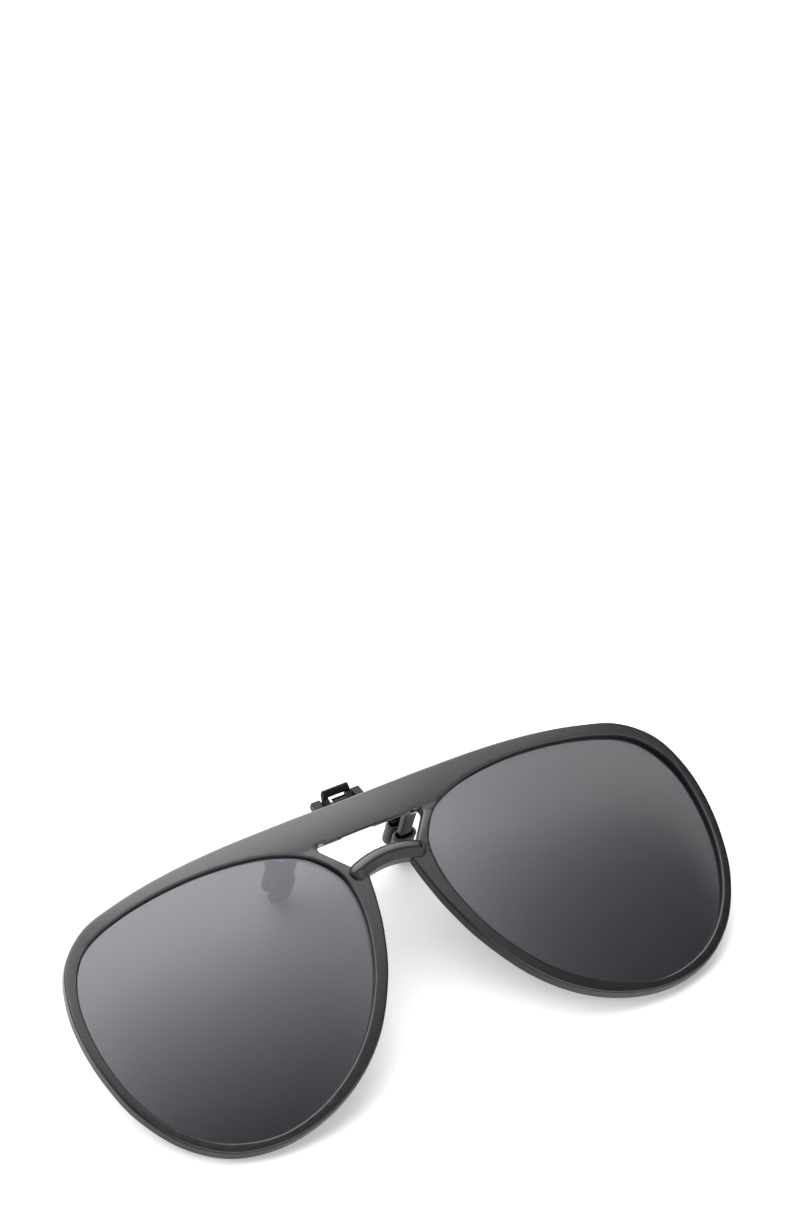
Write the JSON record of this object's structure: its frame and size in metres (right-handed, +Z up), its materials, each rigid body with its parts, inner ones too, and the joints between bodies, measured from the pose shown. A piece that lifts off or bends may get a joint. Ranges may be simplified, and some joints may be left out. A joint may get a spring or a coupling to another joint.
{
  "type": "clip-on sunglasses",
  "caption": "Flip-up clip-on sunglasses: double-bridge aviator frame with grey tinted lenses, and a spring-closed clip with padded jaws, hinged behind the brow bar.",
  "frame": {"origin": "middle of the bounding box's base, on the table that the glasses lie on", "axes": "+X to the right as seen from in front of the lenses, +Y from the lenses' lower rims to the brow bar and clip, +Z up from the table; the glasses lie on their back, propped on the clip's arms"},
  "size_m": [0.14, 0.0612, 0.0279],
  "materials": {
    "frame_plastic": "satin dark gunmetal grey",
    "tinted_lens": "polished, see-through grey tint",
    "clip_black": "glossy black",
    "pad_rubber": "soft, dark grey, half matte",
    "steel": "bright"
  },
  "bodies": {
    "lens_frame": {"frame_front": "frame_plastic", "lens_left": "tinted_lens", "lens_right": "tinted_lens", "hinge_bracket": "clip_black", "bracket_screw_left": "steel", "bracket_screw_right": "steel"},
    "clip": {"front_jaw": "clip_black", "flip_pin": "steel", "flip_washer_left": "steel", "flip_washer_right": "steel", "jaw_pin": "steel", "jaw_spring": "steel", "pad_front_left": "pad_rubber", "pad_front_right": "pad_rubber"},
    "rear_jaw": {"rear_jaw": "clip_black", "pad_rear_left": "pad_rubber", "pad_rear_right": "pad_rubber"}
  },
  "joints": [
    {"name": "flip_hinge", "type": "hinge", "parent": "lens_frame", "child": "clip", "pos_m": [0, 0.02056, 0.02054], "axis": [1, 0, 0], "range_deg": [-81, 0]},
    {"name": "jaw_hinge", "type": "hinge", "parent": "clip", "child": "rear_jaw", "pos_m": [0, 0.02731, 0.02026], "axis": [1, 0, 0], "range_deg": [0, 20], "stiffness_Nm_per_rad": 0.1, "springref_deg": -22.92, "deforming": ["jaw_spring"]}
  ]
}
